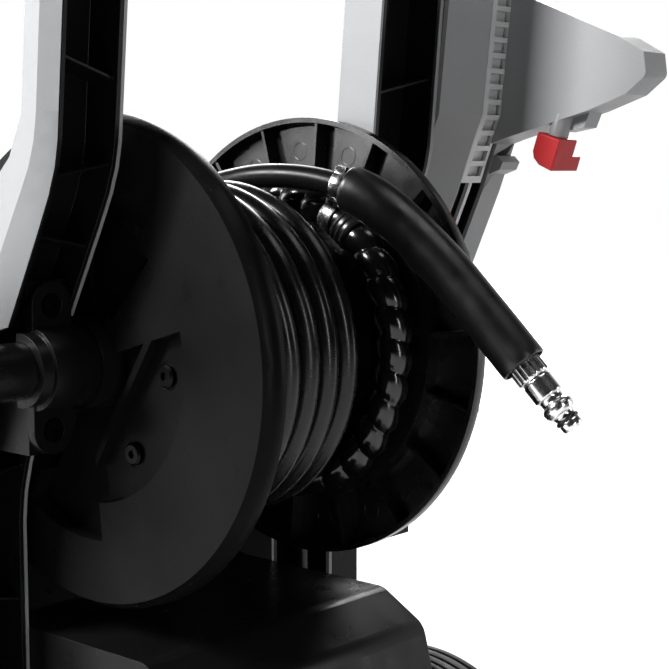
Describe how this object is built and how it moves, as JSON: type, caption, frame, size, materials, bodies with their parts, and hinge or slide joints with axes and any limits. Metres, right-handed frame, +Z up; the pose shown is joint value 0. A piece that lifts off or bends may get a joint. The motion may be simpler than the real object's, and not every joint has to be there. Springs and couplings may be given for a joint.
{
  "type": "pressure washer",
  "caption": "Upright electric pressure washer on two wheels with a crank-wound hose reel between two posts, telescopic handle, cord hooks and quick-connect hose end.",
  "frame": {"origin": "on the floor, under the middle of the machine's box measured without its hose", "axes": "+Z up, +Y to the front where the switch is, +X to the right seen from the user at the rear"},
  "size_m": [0.464, 0.5094, 1.001],
  "materials": {
    "shell_grey": "fine-grained moulded grey plastic",
    "black_plastic": "fine-grained moulded black plastic",
    "black_gloss": "glossy black plastic wrap",
    "hose_black": "satin black thermoplastic hose",
    "rubber": "satin rubber",
    "tyre": "solid tyre rubber",
    "chrome": "bright nickel-chrome plating",
    "steel": "zinc-plated steel",
    "alu": "satin anodised tube",
    "brass": "machined brass",
    "motor_iron": "painted cast motor housing",
    "pump_alu": "die-cast aluminium",
    "axle_black": "black painted steel tube",
    "screw_black": "black oxide screw",
    "red": "glossy red plastic",
    "tank": "milky translucent plastic",
    "filter": "fine steel mesh"
  },
  "bodies": {
    "root": {"left_side_shell": "shell_grey", "right_side_shell": "shell_grey", "left_post_channel": "black_plastic", "right_post_channel": "black_plastic", "left_bearing_block": "black_plastic", "right_bearing_block": "black_plastic", "left_bearing_cap": "black_plastic", "right_bearing_cap": "black_plastic", "bearing_cap_screws": "screw_black", "pump_housing": "black_plastic", "front_cover": "shell_grey", "base_tray": "black_plastic", "front_feet": "rubber", "left_shell_screws": "screw_black", "right_shell_screws": "screw_black", "detergent_tank": "tank", "control_box": "black_plastic", "cable_gland": "black_plastic", "pressure_pipe": "hose_black", "switch_bezel": "black_plastic", "motor": "motor_iron", "motor_cradle": "rubber", "pump": "pump_alu", "inlet_tube": "hose_black", "inlet_fitting": "brass", "inlet_filter": "filter", "rotary_union": "brass", "wheel_axle": "steel", "post_bushes": "black_plastic", "side_pod": "shell_grey", "pod_trough": "black_plastic", "pod_ladder": "shell_grey", "cord_arm": "shell_grey", "pipe_cover": "black_plastic", "hose_tail": "hose_black", "hose_sleeve": "rubber", "hose_nipple": "chrome", "nipple_ring": "rubber", "hose_clamp": "chrome"},
    "reel": {"left_flange": "black_plastic", "right_flange": "black_plastic", "flange_screws": "screw_black", "drum_core": "black_plastic", "reel_axle": "axle_black", "hose_coil": "hose_black", "wrapped_hose": "black_gloss", "crank_arm": "black_plastic"},
    "crank_knob": {"crank_knob": "black_plastic"},
    "left_wheel": {"left_tyre": "tyre", "left_wheel_rim": "black_plastic", "left_hub_cap": "shell_grey"},
    "right_wheel": {"right_tyre": "tyre", "right_wheel_rim": "black_plastic", "right_hub_cap": "shell_grey"},
    "handle": {"handle_tube": "alu", "handle_grip": "rubber"},
    "grip_button": {"grip_button": "red"},
    "switch_knob": {"switch_knob": "red"},
    "cord_hook": {"cord_hook": "red"},
    "tank_cap": {"tank_cap": "black_plastic"}
  },
  "joints": [
    {"name": "reel_spin", "type": "hinge", "parent": "root", "child": "reel", "pos_m": [0, -0.0682, 0.4], "axis": [1, 0, 0], "continuous": true},
    {"name": "crank_knob_spin", "type": "hinge", "parent": "reel", "child": "crank_knob", "pos_m": [-0.197, 0.0498, 0.4], "axis": [1, 0, 0], "continuous": true},
    {"name": "left_wheel_spin", "type": "hinge", "parent": "root", "child": "left_wheel", "pos_m": [-0.125, -0.1262, 0.1], "axis": [1, 0, 0], "continuous": true},
    {"name": "right_wheel_spin", "type": "hinge", "parent": "root", "child": "right_wheel", "pos_m": [0.125, -0.1262, 0.1], "axis": [1, 0, 0], "continuous": true},
    {"name": "handle_slide", "type": "slide", "parent": "root", "child": "handle", "axis": [0, -0.0872, 0.9962], "range_m": [-0.15, 0]},
    {"name": "grip_button_press", "type": "slide", "parent": "handle", "child": "grip_button", "axis": [0, -1, 0], "range_m": [0, 0.003], "stiffness_N_per_m": 800},
    {"name": "switch_turn", "type": "hinge", "parent": "root", "child": "switch_knob", "pos_m": [0, 0.18207, 0.374], "axis": [0, 0.9662, 0.2577], "range_deg": [0, 90]},
    {"name": "cord_hook_swivel", "type": "hinge", "parent": "root", "child": "cord_hook", "pos_m": [0.2114, -0.1681, 0.5243], "axis": [0, -0.309, 0.9511], "range_deg": [0, 180]},
    {"name": "tank_cap_turn", "type": "hinge", "parent": "root", "child": "tank_cap", "pos_m": [-0.052, 0.1258, 0.45], "axis": [0, 0, 1], "continuous": true}
  ]
}
